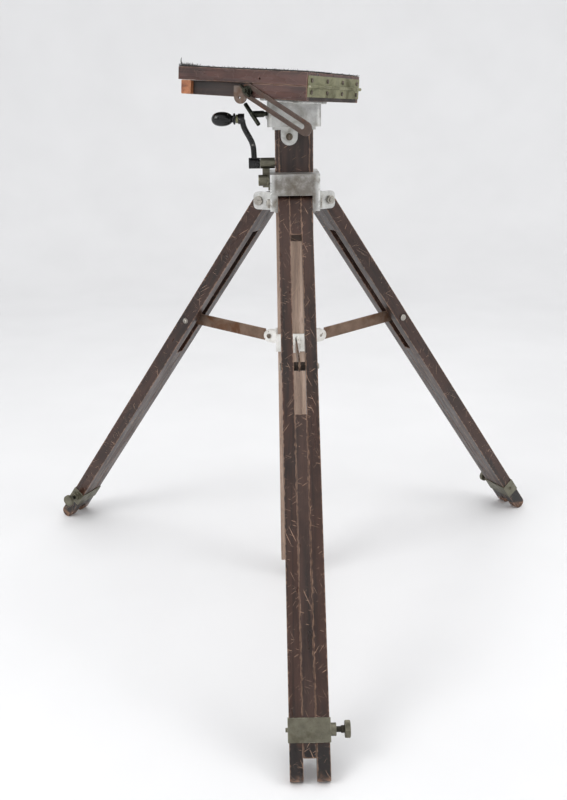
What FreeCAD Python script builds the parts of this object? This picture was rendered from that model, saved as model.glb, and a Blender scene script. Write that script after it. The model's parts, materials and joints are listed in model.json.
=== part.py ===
import FreeCAD, Part
import math
import os
import re

# Antique wooden camera tripod: a crank-raised column with a tilting head on three folding legs.
# Millimetres, +Z up.  The origin is on the floor, on the axis of the column, and the front leg
# points along -Y.  Every moving piece is drawn where it stands at rest: legs open, column down.
# The three legs share a centre that lies a little behind the column's axis.

SIZES = {
    # legs
    "rail_width": 19.0,          # one rail, measured along the hinge bolt
    "rail_depth": 25.0,
    "leg_lean": 36.25,           # degrees from upright with the legs open
    "leg_centre": 3.0,           # the legs' common centre, behind the column's axis
    "hinge_radius": 51.5,        # from that centre to a leg's hinge bolt
    "hinge_height": 727.5,
    "block_length": 64.5,        # solid wood between the rails below the hinge
    "bar_start": 372.0,          # top of the sliding bar below the hinge, pushed in
    "bar_set_back": 31.0,        # the bar stops this far above the rails' ends
    "bar_clearance": 0.2,
    "hinge_bolt_radius": 4.0,
    "bore_clearance": 0.06,      # running fit of a bolt or shaft, on the radius
    "free_gap": 0.3,             # where a screw passes a hole freely
    # leg clamps
    "clamp_height": 33.0,
    "clamp_set_back": 68.0,      # middle of the band above the rails' ends
    "clamp_wall": 1.6,
    "clamp_boss": 8.0,
    "clamp_screw_radius": 4.0,
    "clamp_knob_radius": 12.0,
    "clamp_knob_width": 8.0,
    "clamp_stem": 12.0,
    # braces and their collar
    "brace_drop": 290.0,         # brace bolt below the hinge, along the leg
    "brace_rise": 15.0,          # brace bolt above the collar's pins
    "brace_width": 22.0,
    "brace_thick": 3.0,
    "brace_play": 0.2,
    "collar_radius": 52.0,       # collar's pins from the column's axis
    "collar_height": 32.0,
    "collar_wall": 3.2,
    "pin_radius": 3.0,
    "lug_radius": 11.5,
    "sleeve_radius": 7.0,
    # column
    "column_width": 64.0,
    "column_depth": 44.0,
    "column_board": 6.35,
    "column_bottom": 38.0,
    "column_top": "=hinge_height + 122.5",
    "column_gap": 0.3,
    "rack_slot": 22.0,           # slot in the left side, for the crank's shaft
    "column_lift": 300.0,
    # crown
    "crown_bottom": "=hinge_height - 11.5",
    "crown_top": "=hinge_height + 48.5",
    "crown_half_width": 41.5,
    "crown_front": 63.0,
    "crown_back": 46.0,
    "cheek_gap": 0.5,
    "cheek_thick": 5.0,
    "ear_reach": 10.5,           # from the hinge bolt to the ear's outer end
    "ear_half_height": 15.0,
    "ear_corner": 8.0,
    # rack, pinion and crank
    "tooth_module": 1.25,
    "pinion_teeth": 14.0,
    "gear_width": 9.0,
    "tooth_play": 0.35,
    "shaft_radius": 5.0,
    "crank_height": "=hinge_height + 63",
    "crank_forward": 5.0,        # the shaft lies this far in front of the column's axis
    "bearing_radius": 9.0,
    "bearing_end": 57.5,         # outer end of the bearing tube from the column's axis
    "crank_boss": 19.0,          # length of the arm's boss on the shaft
    "crank_throw": 72.3,
    "crank_reach": 85.5,         # middle of the arm at the knob's end, from the column's axis
    "crank_bar_radius": 4.8,
    "knob_boss_in": 82.5,        # the arm's boss at the knob, from the column's axis
    "knob_boss_out": 93.0,
    "ferrule_length": 4.0,
    "knob_length": 40.5,
    "knob_radius": 11.8,
    # column lock
    "lock_height": "=hinge_height + 35.5",
    "lock_knob_radius": 9.2,
    "lock_knob_length": 16.5,
    "lock_screw_radius": 3.5,
    # head socket and pan lock
    "socket_half_width": 44.5,
    "socket_half_depth": 40.0,
    "head_height": "=column_top + 42",        # underside of the base board on the pan axis
    "head_lean": 3.8,            # degrees that the pan axis leans to the right
    "head_turn": 30.0,           # degrees that the platform is turned at rest
    "flange_radius": 56.0,
    "flange_thick": 4.0,
    "spindle_radius": 15.0,
    "spindle_length": 30.0,
    "tab_radius": 14.0,
    "tab_drop": 16.0,
    "pan_lock_angle": 215.0,
    "pan_lock_height": "=column_top + 21",
    "pan_lock_reach": 86.0,
    "pan_handle_half": 24.0,
    # platform
    "board_length": 241.0,
    "board_width": 190.0,
    "board_thick": 20.0,
    "base_thick": 22.0,
    "hinge_end": 74.0,           # hinged end of the boards from the pan axis
    "cleat_width": 19.0,
    "cleat_inset": 5.5,
    "recess_depth": 8.0,
    "side_block_length": 98.0,
    "felt_thick": 1.5,
    "leaf_height": 15.5,
    "leaf_thick": 1.6,
    "knuckle_radius": 2.6,
    "hinge_pin_radius": 1.2,
    "hinge_screw_radius": 3.4,
    "hinge_screw_pitch": 55.0,
    "camera_screw_radius": 4.76,
    "camera_knob_radius": 15.0,
    "camera_hole": 120.0,        # camera screw from the hinged end
    "camera_window": 44.0,       # opening in the base for its head
    # stay bar
    "stay_across": 104.0,        # clamp stud from the hinged end
    "stay_height": 10.5,
    "stay_slope": 25.5,
    "stay_length": 119.0,
    "stay_width": 22.0,
    "stay_thick": 3.2,
    "stay_slot": 8.0,
    "stud_radius": 3.0,
}

LEGS = {"front": -90.0, "right": 30.0, "left": 150.0}

doc = FreeCAD.newDocument("camera_tripod")
sheet = doc.addObject("Spreadsheet::Sheet", "Sizes")
for row, (alias, value) in enumerate(SIZES.items(), start=1):
    sheet.set("A%d" % row, alias)
    sheet.set("B%d" % row, str(value))
    sheet.setAlias("B%d" % row, alias)
doc.recompute()


def bound(formula):
    """A formula in the sheet's own words, as FreeCAD's expression language writes it."""
    return re.sub(r"[a-z_]{3,}", lambda word: "Sizes." * (word[0] in SIZES) + word[0], str(formula))


def amount(formula):
    """The value of such a formula now."""
    return float(sheet.evalExpression(bound(formula)))


def vector(*formulas):
    return FreeCAD.Vector(*[amount(formula) for formula in formulas])


def turned(axis, angle):
    return FreeCAD.Rotation(FreeCAD.Vector(*axis), angle)


def tie(item, **formulas):
    for prop, formula in formulas.items():
        item.setExpression(prop, bound(formula))
    return item


def put(item, at, axis="Z"):
    """Ties an item's position to the sheet and points its own Z along one of the main axes."""
    turn = {"Z": turned((0, 0, 1), 0), "X": turned((0, 1, 0), 90), "Y": turned((1, 0, 0), -90)}
    item.Placement = FreeCAD.Placement(FreeCAD.Vector(), turn[axis])
    for letter, formula in zip("xyz", at):
        item.setExpression(".Placement.Base." + letter, bound(formula))
    return item


def box(size, at):
    """A block of the given size whose lowest corner is at a point."""
    item = doc.addObject("Part::Box", "block")
    tie(item, Length=size[0], Width=size[1], Height=size[2])
    return put(item, at)


def block(half_x, half_y, low, high, x=0, y=0):
    """A block given by its half widths and its two heights."""
    return box(("2 * (%s)" % half_x, "2 * (%s)" % half_y, "(%s) - (%s)" % (high, low)),
               ("(%s) - (%s)" % (x, half_x), "(%s) - (%s)" % (y, half_y), low))


def rod(radius, length, at, axis="Z"):
    item = doc.addObject("Part::Cylinder", "rod")
    tie(item, Radius=radius, Height=length)
    return put(item, at, axis)


def cone(radius_low, radius_high, length, at, axis="Z"):
    item = doc.addObject("Part::Cone", "cone")
    tie(item, Radius1=radius_low, Radius2=radius_high, Height=length)
    return put(item, at, axis)


def joined(*items):
    item = doc.addObject("Part::MultiFuse", "joined")
    item.Shapes = list(items)
    item.Refine = True
    return item


def grouped(*items):
    """Separate solids that share one node."""
    item = doc.addObject("Part::Compound", "grouped")
    item.Links = list(items)
    return item


def less(solid, *tools):
    """A solid with one or more tools cut away."""
    item = doc.addObject("Part::Cut", "cut")
    item.Base = solid
    item.Tool = tools[0] if len(tools) == 1 else joined(*tools)
    item.Refine = True
    return item


def moved(item, place):
    """The item carried to another frame; its own place stays tied to the sheet."""
    carrier = grouped(item)
    carrier.Placement = place
    return carrier


def rounded(solid, radius, picks):
    """Rounds the edges of a solid that the test picks."""
    doc.recompute()
    item = doc.addObject("Part::Fillet", "rounded")
    item.Base = solid
    edges = [(number, amount(radius), amount(radius))
             for number, edge in enumerate(solid.Shape.Edges, start=1) if picks(edge)]
    item.Edges = edges
    return item


def upright(edge):
    direction = edge.lastVertex().Point - edge.firstVertex().Point
    return abs(direction.z) > 0.99 * direction.Length and edge.Length > 1


NODES = []


def node(label, item, place=None):
    """Names a finished sub-part, and sets it in its frame when it was drawn in a frame of its own."""
    if place is not None:
        item = moved(item, place)
    item.Label = label
    NODES.append(item)
    return item


# ---------------------------------------------------------------- frames

def leg_frame(azimuth):
    """Origin on the hinge bolt, X out of the leg's face, Y along the bolt, -Z down the leg."""
    hinge = spoke_frame(azimuth).multVec(vector("hinge_radius", 0, "hinge_height"))
    turn = turned((0, 0, 1), azimuth).multiply(turned((0, 1, 0), -amount("leg_lean")))
    return FreeCAD.Placement(hinge, turn)


def spoke_frame(azimuth, height=0):
    """X points out along a leg's azimuth, Z up, origin at the legs' common centre."""
    return FreeCAD.Placement(vector(0, "leg_centre", height), turned((0, 0, 1), azimuth))


def lean_frame():
    """The pan axis is Z and the underside of the base board is at zero."""
    return FreeCAD.Placement(vector(0, 0, "head_height"), turned((0, 1, 0), amount("head_lean")))


def platform_frame():
    """As the leaning frame, turned with the platform: X points to the hinged end."""
    turn = FreeCAD.Placement(FreeCAD.Vector(), turned((0, 0, 1), -amount("head_turn")))
    return lean_frame().multiply(turn)


# ---------------------------------------------------------------- legs

# A leg's rounded end touches the floor, so the drawn length follows from the hinge's height.
FOOT_DROP = "(hinge_height - rail_depth / 2) / cos(leg_lean)"
RAIL_END = "(%s + rail_depth / 2)" % FOOT_DROP
CLAMP_DROP = "(%s - clamp_set_back)" % RAIL_END


def rounded_bar(width, y, top_drop, low_drop, round_top, round_low):
    """A bar of a leg, with half-round ends where asked."""
    pieces = [box(("rail_depth", width, "%s - (%s)" % (low_drop, top_drop)),
                  ("-rail_depth / 2", y, "-(%s)" % low_drop))]
    if round_top:
        pieces.append(rod("rail_depth / 2", width, (0, y, "-(%s)" % top_drop), "Y"))
    if round_low:
        pieces.append(rod("rail_depth / 2", width, (0, y, "-(%s)" % low_drop), "Y"))
    return joined(*pieces)


def leg_rails():
    rails = []
    bolt_bore = "hinge_bolt_radius + bore_clearance"
    for side, low in (("near", "rail_width / 2"), ("far", "-1.5 * rail_width")):
        rail = rounded_bar("rail_width", low, 0, FOOT_DROP, True, True)
        bores = [rod(bolt_bore, "4 * rail_width", (0, "-2 * rail_width", 0), "Y"),
                 rod("pin_radius + free_gap", "4 * rail_width", (0, "-2 * rail_width", "-brace_drop"), "Y")]
        if side == "near":
            at = (0, 0, "-" + CLAMP_DROP)
            bores.append(rod("clamp_screw_radius + free_gap", "2 * rail_width", at, "Y"))
        rails.append(less(rail, *bores))
    return grouped(*rails)


def leg_block():
    piece = rounded_bar("rail_width", "-rail_width / 2", 0, "block_length", True, False)
    bore = rod("hinge_bolt_radius + bore_clearance", "2 * rail_width", (0, "-rail_width", 0), "Y")
    return less(piece, bore)


def leg_sliding_bar():
    width = "(rail_width - 2 * bar_clearance)"
    depth = "(rail_depth - 2 * bar_clearance)"
    end = "(%s - bar_set_back)" % RAIL_END
    return box((depth, width, "%s - bar_start" % end), ("-%s / 2" % depth, "-%s / 2" % width, "-" + end))


def leg_clamp_band():
    half_out = "(1.5 * rail_width + clamp_wall)"
    depth = "(rail_depth / 2 + clamp_wall)"
    low = "-%s - clamp_height / 2" % CLAMP_DROP
    high = "-%s + clamp_height / 2" % CLAMP_DROP
    outside = block(depth, half_out, low, high)
    at = "-" + CLAMP_DROP
    boss = rod("clamp_knob_radius * 0.75", "clamp_boss", (0, half_out, at), "Y")
    rivet = rod("pin_radius", "clamp_wall * 2", (0, "-%s - clamp_wall * 2" % half_out, at), "Y")
    inside = block("rail_depth / 2", "1.5 * rail_width", "%s - 1" % low, "%s + 1" % high)
    bore_start = (0, "%s - clamp_boss" % half_out, at)
    bore = rod("clamp_screw_radius + free_gap", "2 * clamp_boss", bore_start, "Y")
    return less(joined(outside, boss, rivet), inside, bore)


def leg_clamp_screw():
    tip = "(rail_width / 2 + free_gap)"
    stem_start = "(1.5 * rail_width + clamp_wall + clamp_boss)"
    knob_start = "(%s + clamp_stem)" % stem_start
    at = "-" + CLAMP_DROP
    shank = rod("clamp_screw_radius", "%s - %s" % (knob_start, tip), (0, tip, at), "Y")
    neck = rod("clamp_screw_radius * 1.3", "clamp_stem * 0.45",
               (0, "%s - clamp_stem * 0.45" % knob_start, at), "Y")
    disc = rod("clamp_knob_radius", "clamp_knob_width", (0, knob_start, at), "Y")
    return joined(shank, neck, disc)


def leg_brace_bolts():
    """The two ends of the brace bolt, each in its own rail: a domed head and a ring nut."""
    at = "-brace_drop"
    shank = rod("pin_radius", "rail_width - free_gap", (0, "rail_width / 2 + free_gap", at), "Y")
    dome = cone("2 * pin_radius", "pin_radius", "pin_radius", (0, "1.5 * rail_width", at), "Y")
    far_shank = rod("pin_radius", "rail_width - free_gap", (0, "-1.5 * rail_width", at), "Y")
    ring = rod("2 * pin_radius", "pin_radius", (0, "-1.5 * rail_width - pin_radius", at), "Y")
    return grouped(joined(shank, dome), joined(far_shank, ring))


for name, azimuth in LEGS.items():
    frame = leg_frame(azimuth)
    node("leg_%s_rails" % name, leg_rails(), frame)
    node("leg_%s_block" % name, leg_block(), frame)
    node("leg_%s_sliding_bar" % name, leg_sliding_bar(), frame)
    node("leg_%s_clamp_band" % name, leg_clamp_band(), frame)
    node("leg_%s_clamp_screw" % name, leg_clamp_screw(), frame)
    node("leg_%s_brace_bolt" % name, leg_brace_bolts(), frame)


# ---------------------------------------------------------------- braces

BRACE_RADIUS = "(hinge_radius + brace_drop * sin(leg_lean))"
BRACE_HEIGHT = "(hinge_height - brace_drop * cos(leg_lean))"
COLLAR_PIN_HEIGHT = "(%s - brace_rise)" % BRACE_HEIGHT
BRACE_RUN = "(%s - collar_radius)" % BRACE_RADIUS


def brace():
    """Drawn along X from the collar's pin to the leg's bolt."""
    length = amount("(%s ^ 2 + brace_rise ^ 2) ^ 0.5" % BRACE_RUN)
    strap = box((length - amount("brace_width"), "brace_thick", "brace_width"),
                ("brace_width / 2", "-brace_thick / 2", "-brace_width / 2"))
    inner = rod("brace_width * 0.36", "brace_thick", (0, "-brace_thick / 2", 0), "Y")
    neck = box(("brace_width", "brace_thick", "brace_width * 0.72"),
               (0, "-brace_thick / 2", "-brace_width * 0.36"))
    outer = rod("brace_width / 2", "brace_thick",
                (length - amount("brace_width / 2"), "-brace_thick / 2", 0), "Y")
    sleeve = rod("sleeve_radius", "rail_width - 1", (length, "-(rail_width - 1) / 2", 0), "Y")
    end = rod("brace_width * 0.4", "brace_thick", (length, "-brace_thick / 2", 0), "Y")
    eye = rod("pin_radius + bore_clearance", "4 * brace_thick", (0, "-2 * brace_thick", 0), "Y")
    return less(joined(strap, inner, neck, outer, sleeve, end), eye)


def brace_frame(azimuth):
    slope = math.degrees(math.atan2(amount("brace_rise"), amount(BRACE_RUN)))
    turn = turned((0, 0, 1), azimuth).multiply(turned((0, 1, 0), -slope))
    place = spoke_frame(azimuth)
    return FreeCAD.Placement(place.multVec(vector("collar_radius", 0, COLLAR_PIN_HEIGHT)), turn)


LUG_THICK = 4


def spreader_collar():
    """Casting that slides on the column, with a forked lug for each brace."""
    low = "(%s - collar_height / 2)" % COLLAR_PIN_HEIGHT
    high = "(%s + collar_height / 2)" % COLLAR_PIN_HEIGHT
    inner_x = "column_width / 2 + column_gap"
    inner_y = "column_depth / 2 + column_gap"
    ring = block(inner_x + " + collar_wall", inner_y + " + collar_wall", low, high)
    lugs = []
    for azimuth in LEGS.values():
        cheeks = []
        for side in (1, -1):
            cheek = joined(
                box(("collar_radius - column_depth / 2 - 1", LUG_THICK, "lug_radius * 2"),
                    ("column_depth / 2 + 1", "-%s / 2" % LUG_THICK, "-lug_radius")),
                rod("lug_radius", LUG_THICK, ("collar_radius", "-%s / 2" % LUG_THICK, 0), "Y"))
            offset = vector(0, "%d * (brace_thick / 2 + brace_play + %s / 2)" % (side, LUG_THICK), 0)
            place = FreeCAD.Placement(offset, FreeCAD.Rotation())
            cheeks.append(moved(cheek, spoke_frame(azimuth, COLLAR_PIN_HEIGHT).multiply(place)))
        lugs.extend(cheeks)
    bores = []
    for azimuth in LEGS.values():
        bore = rod("pin_radius", 8 * LUG_THICK, ("collar_radius", -4 * LUG_THICK, 0), "Y")
        bore = moved(bore, spoke_frame(azimuth, COLLAR_PIN_HEIGHT))
        bores.append(bore)
    hole = block(inner_x, inner_y, "%s - 1" % low, "%s + 1" % high)
    return less(joined(ring, *lugs), hole, *bores)


def collar_pins():
    pins = []
    for azimuth in LEGS.values():
        half = amount("brace_thick / 2 + brace_play + %s" % LUG_THICK)
        pin = rod("pin_radius", 2 * half, ("collar_radius", -half, 0), "Y")
        pin = moved(pin, spoke_frame(azimuth, COLLAR_PIN_HEIGHT))
        head = rod("pin_radius * 1.6", 1.6, ("collar_radius", half, 0), "Y")
        head = moved(head, spoke_frame(azimuth, COLLAR_PIN_HEIGHT))
        pins.append(joined(pin, head))
    return grouped(*pins)


for name, azimuth in LEGS.items():
    node("brace_%s" % name, brace(), brace_frame(azimuth))
node("spreader_collar", spreader_collar())
node("collar_pins", collar_pins())


# ---------------------------------------------------------------- column

TAB_SCREW = 3.0
TAB_X = -8


def column_boards():
    half_x = "column_width / 2"
    half_y = "column_depth / 2"
    height = "column_top - column_bottom"
    face = ("column_width - 2 * column_board", "column_board", height)
    back_low = half_y + " - column_board"
    for label, low in (("column_front_board", "-" + half_y), ("column_back_board", back_low)):
        board = box(face, ("column_board - " + half_x, low, "column_bottom"))
        screw_bore = rod(TAB_SCREW, "column_depth", (TAB_X, low + " - 10", "column_top - tab_drop"), "Y")
        node(label, less(board, screw_bore))
    node("column_right_board", box(("column_board", "column_depth", height),
                                   (half_x + " - column_board", "-" + half_y, "column_bottom")))
    strip = ("column_board", "(column_depth - rack_slot) / 2", height)
    near = box(strip, ("-" + half_x, "-" + half_y, "column_bottom"))
    far = box(strip, ("-" + half_x, "rack_slot / 2", "column_bottom"))
    node("column_left_strips", grouped(near, far))


PITCH_RADIUS = "(tooth_module * pinion_teeth / 2)"
GEAR_START = "(-column_width / 2 + column_board + 0.4)"
CRANK_Y = "(-crank_forward)"


def rack():
    """A toothed bar at the back of the column, whose teeth face the pinion."""
    step = math.pi * amount("tooth_module")
    module = amount("tooth_module")
    pitch_line = amount("%s + %s + tooth_play" % (CRANK_Y, PITCH_RADIUS))
    tip = pitch_line - module
    root = pitch_line + 1.25 * module
    back = amount("column_depth / 2 - column_board")
    slant = math.tan(math.radians(20))
    below = math.floor(amount("column_lift + 25") / step)
    above = math.floor(10 / step)
    half_tip = step / 4 - module * slant
    half_root = step / 4 + 1.25 * module * slant
    points = []
    for number in range(-below, above + 1):
        # a tooth gap of the rack lies level with the pinion's centre
        middle = amount("crank_height") + (number + 0.5) * step
        points.append(FreeCAD.Vector(0, root, middle - half_root))
        points.append(FreeCAD.Vector(0, tip, middle - half_tip))
        points.append(FreeCAD.Vector(0, tip, middle + half_tip))
        points.append(FreeCAD.Vector(0, root, middle + half_root))
    points.append(FreeCAD.Vector(0, root, points[-1].z + step / 2))
    points.append(FreeCAD.Vector(0, back, points[-1].z))
    points.append(FreeCAD.Vector(0, back, points[0].z - step / 2))
    points.append(FreeCAD.Vector(0, root, points[0].z - step / 2))
    points.append(points[0])
    return profile(points, (GEAR_START, 0, 0), "gear_width")


def profile(points, at, width):
    """A Part::Extrusion along X of a closed outline that a loop worked out."""
    outline = doc.addObject("Part::Feature", "outline")
    outline.Shape = Part.Face(Part.makePolygon(points))
    item = doc.addObject("Part::Extrusion", "profile")
    item.Base = outline
    item.DirMode = "Custom"
    item.Dir = FreeCAD.Vector(1, 0, 0)
    item.Solid = True
    tie(item, LengthFwd=width)
    return put(item, at)


def pinion():
    """Straight-sided teeth, thinned a little so that they clear the rack."""
    module = amount("tooth_module")
    teeth = int(amount("pinion_teeth"))
    pitch = amount(PITCH_RADIUS)
    outer = pitch + module
    root = pitch - 1.25 * module
    thin = amount("tooth_play") / 2
    points = []
    for number in range(teeth):
        # at rest a tooth points straight at the rack, along +Y
        middle = math.pi / 2 + 2 * math.pi * number / teeth
        for radius, half in ((root, 0.62), (outer, 0.24), (outer, -0.24), (root, -0.62)):
            across = half * math.pi * module / 2 * (1.0 if radius == outer else 1.35)
            across -= math.copysign(thin, half)
            angle = middle - across / radius
            points.append(FreeCAD.Vector(0, radius * math.sin(angle), radius * math.cos(angle)))
    points.append(points[0])
    gear = profile(points, (GEAR_START, CRANK_Y, "crank_height"), "gear_width")
    bore_start = ("-column_width / 2 - gear_width", CRANK_Y, "crank_height")
    bore = rod("shaft_radius", "4 * gear_width", bore_start, "X")
    return less(gear, bore)


SOCKET_WALL = "(column_board + 0.2)"
LOCK_BORE = 3.8
BOSS_RADIUS = 8.5
BOSS_REACH = 52


def head_socket():
    """Casting on top of the column: a plug inside the boards, a body and two screwed tabs."""
    lift = amount("socket_half_width * tan(head_lean)") + 12
    body = block("socket_half_width", "socket_half_depth", "column_top", amount("head_height") + lift)
    body = rounded(body, 9, upright)
    neck = block("column_width / 2 + 4", "column_depth / 2 + 4", "column_top - 5", "column_top + 1")
    plug = block("column_width / 2 - %s" % SOCKET_WALL, "column_depth / 2 - %s" % SOCKET_WALL,
                 "column_top - 40", "column_top + 1")
    boss_turn = turned((0, 0, 1), amount("pan_lock_angle"))
    boss_place = FreeCAD.Placement(vector(0, 0, "pan_lock_height - 2"), boss_turn)
    boss = moved(rod(BOSS_RADIUS, BOSS_REACH, (0, 0, 0), "X"), boss_place)
    tabs = []
    for side in (-1, 1):
        face = "%s * (column_depth / 2 + 2)" % side
        tabs.append(block("tab_radius", 2, "column_top - tab_drop", "column_top + 1", TAB_X, face))
        tabs.append(rod("tab_radius", 4, (TAB_X, "%s - 2" % face, "column_top - tab_drop"), "Y"))
    casting = joined(body, neck, plug, boss, *tabs)
    top = moved(box((300, 300, 60), (-150, -150, "-flange_thick - 0.1")), lean_frame())
    bore_start = (0, 0, "-flange_thick - spindle_length - 0.5")
    bore = rod("spindle_radius + bore_clearance", "spindle_length + 1", bore_start)
    bore = moved(bore, lean_frame())
    lock_bore = moved(rod(LOCK_BORE, 2 * BOSS_REACH, (0, 0, 0), "X"),
                      FreeCAD.Placement(vector(0, 0, "pan_lock_height"), boss_turn))
    boards = less(block("column_width / 2", "column_depth / 2", "column_top - 60", "column_top"),
                  block("column_width / 2 - %s" % SOCKET_WALL, "column_depth / 2 - %s" % SOCKET_WALL,
                        "column_top - 60", "column_top"))
    screw_start = (TAB_X, "-column_depth / 2 - 10", "column_top - tab_drop")
    screws = rod(TAB_SCREW, "column_depth + 20", screw_start, "Y")
    inner_half = "column_depth / 2 - 2 * column_board + 4"
    inner = block("column_width", inner_half, "column_top - 60", "column_top")
    return less(casting, top, bore, lock_bore, boards, less(screws, inner))


def tab_screws():
    """Slotted wood screws that hold the casting's tabs to the column."""
    screws = []
    inner = amount("column_depth / 2 - 2 * column_board + 4")
    outer = amount("column_depth / 2") + 4
    at = "column_top - tab_drop"
    for side in (-1, 1):
        shank = rod(TAB_SCREW, outer - inner, (TAB_X, inner if side > 0 else -outer, at), "Y")
        head = rod(2 * TAB_SCREW, 1.6, (TAB_X, outer if side > 0 else -outer - 1.6, at), "Y")
        slot = box((1.4, 1.0, 14), (TAB_X - 0.7, outer + 0.8 if side > 0 else -outer - 1.8, at + " - 7"))
        screws.append(less(joined(shank, head), slot))
    return grouped(*screws)


def column_plug():
    return block("column_width / 2 - column_board - 0.05", "column_depth / 2 - column_board - 0.05",
                 "column_bottom + 2", "column_bottom + 22")


column_boards()
node("column_rack", rack())
node("column_foot_plug", column_plug())
node("head_socket", head_socket())
node("tab_screws", tab_screws())


# ---------------------------------------------------------------- crown

WINDOW_TOP = "(hinge_height + rail_depth / 2 + 1.5)"
LEG_HALF = "(1.5 * rail_width)"
EAR_ROOT = 28


def ear(side):
    """One cheek beside a leg, with rounded outer corners, drawn along a leg's spoke."""
    start = "%s + cheek_gap" % LEG_HALF if side > 0 else "-%s - cheek_gap - cheek_thick" % LEG_HALF
    end = "(hinge_radius + ear_reach)"
    flat = "(ear_half_height - ear_corner)"
    pieces = [box((end + " - ear_corner - %d" % EAR_ROOT, "cheek_thick", "2 * ear_half_height"),
                  (EAR_ROOT, start, "hinge_height - ear_half_height")),
              box((end + " - %d" % EAR_ROOT, "cheek_thick", "2 * " + flat),
                  (EAR_ROOT, start, "hinge_height - " + flat))]
    for sign in ("+", "-"):
        at = (end + " - ear_corner", start, "hinge_height %s %s" % (sign, flat))
        pieces.append(rod("ear_corner", "cheek_thick", at, "Y"))
    return joined(*pieces)


def crown_casting():
    """A block round the column with a forked ear for each leg."""
    half_y = "(crown_front + crown_back) / 2"
    middle_y = "(crown_back - crown_front) / 2"
    top = block("crown_half_width", half_y, WINDOW_TOP, "crown_top", 0, middle_y)
    skirt = block("crown_half_width", half_y, "crown_bottom", "%s + 1" % WINDOW_TOP, 0, middle_y)
    window_half = "(%s + cheek_gap)" % LEG_HALF
    ears = []
    windows = []
    bores = []
    for azimuth in LEGS.values():
        spoke = spoke_frame(azimuth)
        ears.extend(moved(ear(side), spoke) for side in (1, -1))
        window = box((80, "2 * " + window_half, 80),
                     ("hinge_radius - rail_depth / 2 - 0.4", "-" + window_half, "%s - 80" % WINDOW_TOP))
        windows.append(moved(window, spoke))
        through = ("hinge_radius", -80, "hinge_height")
        bores.append(moved(rod("hinge_bolt_radius", 160, through, "Y"), spoke))
    hole = block("column_width / 2 + column_gap", "column_depth / 2 + column_gap",
                 "crown_bottom - 30", "crown_top + 1")
    lock_start = ("-2 * crown_half_width", LOCK_Y, "lock_height")
    lock_length = "2 * crown_half_width - column_width / 2 + 2"
    lock = rod("lock_screw_radius + free_gap", lock_length, lock_start, "X")
    return less(joined(less(joined(top, skirt), joined(*windows)), *ears), hole, lock, *bores)


LOCK_Y = "(-column_depth / 2 + (column_depth - rack_slot) / 4)"


def hinge_hardware(part):
    """Bolts with slotted heads on one side of each leg, nuts on the other."""
    pieces = []
    for name, azimuth in LEGS.items():
        grip = amount("crown_half_width" if name == "front" else "%s + cheek_gap + cheek_thick" % LEG_HALF)
        if part == "bolts":
            shank = rod("hinge_bolt_radius", 2 * grip + 7, ("hinge_radius", -grip - 7, "hinge_height"), "Y")
            head = rod("2 * hinge_bolt_radius", 3.5, ("hinge_radius", grip, "hinge_height"), "Y")
            slot = box((20, 2, 1.6), ("hinge_radius - 10", grip + 2, "hinge_height - 0.8"))
            piece = less(joined(shank, head), slot)
        else:
            nut = doc.addObject("Part::Prism", "nut")
            nut.Polygon = 6
            tie(nut, Circumradius="2 * hinge_bolt_radius", Height=5)
            put(nut, ("hinge_radius", -grip - 5, "hinge_height"), "Y")
            bore = rod("hinge_bolt_radius", 20, ("hinge_radius", -grip - 12, "hinge_height"), "Y")
            piece = less(nut, bore)
        pieces.append(moved(piece, spoke_frame(azimuth)))
    return grouped(*pieces)


def crank_bearing():
    """Tube for the crank's shaft, on a neck that is screwed to the crown's left side."""
    inner = "(column_width / 2 + 0.6)"
    tube = rod("bearing_radius", "bearing_end - %s" % inner, ("-bearing_end", CRANK_Y, "crank_height"), "X")
    neck = block(NECK_HALF, 6, "lock_height - 13", "crank_height", "-(crown_half_width + %s)" % NECK_HALF)
    foot = block(1.5, 12, "lock_height - 18", "crown_top - 6", "-(crown_half_width + 1.5)", 6)
    bore = rod("shaft_radius + bore_clearance", 60, (-80, CRANK_Y, "crank_height"), "X")
    return less(joined(tube, neck, foot), bore)


NECK_HALF = 6.2
node("crown_casting", crown_casting())
node("leg_hinge_bolts", hinge_hardware("bolts"))
node("leg_hinge_nuts", hinge_hardware("nuts"))
node("crank_bearing", crank_bearing())


# ---------------------------------------------------------------- crank

ARM_X = "(-bearing_end - 0.4)"
KNOB_HEIGHT = "crank_height + crank_throw"
PIN_RADIUS = 3.0
SHAFT_GRIP = 12


def crank_shaft():
    start = amount(ARM_X) - SHAFT_GRIP
    end = amount(GEAR_START + " + gear_width") + 2
    return rod("shaft_radius", end - start, (start, CRANK_Y, "crank_height"), "X")


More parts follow.
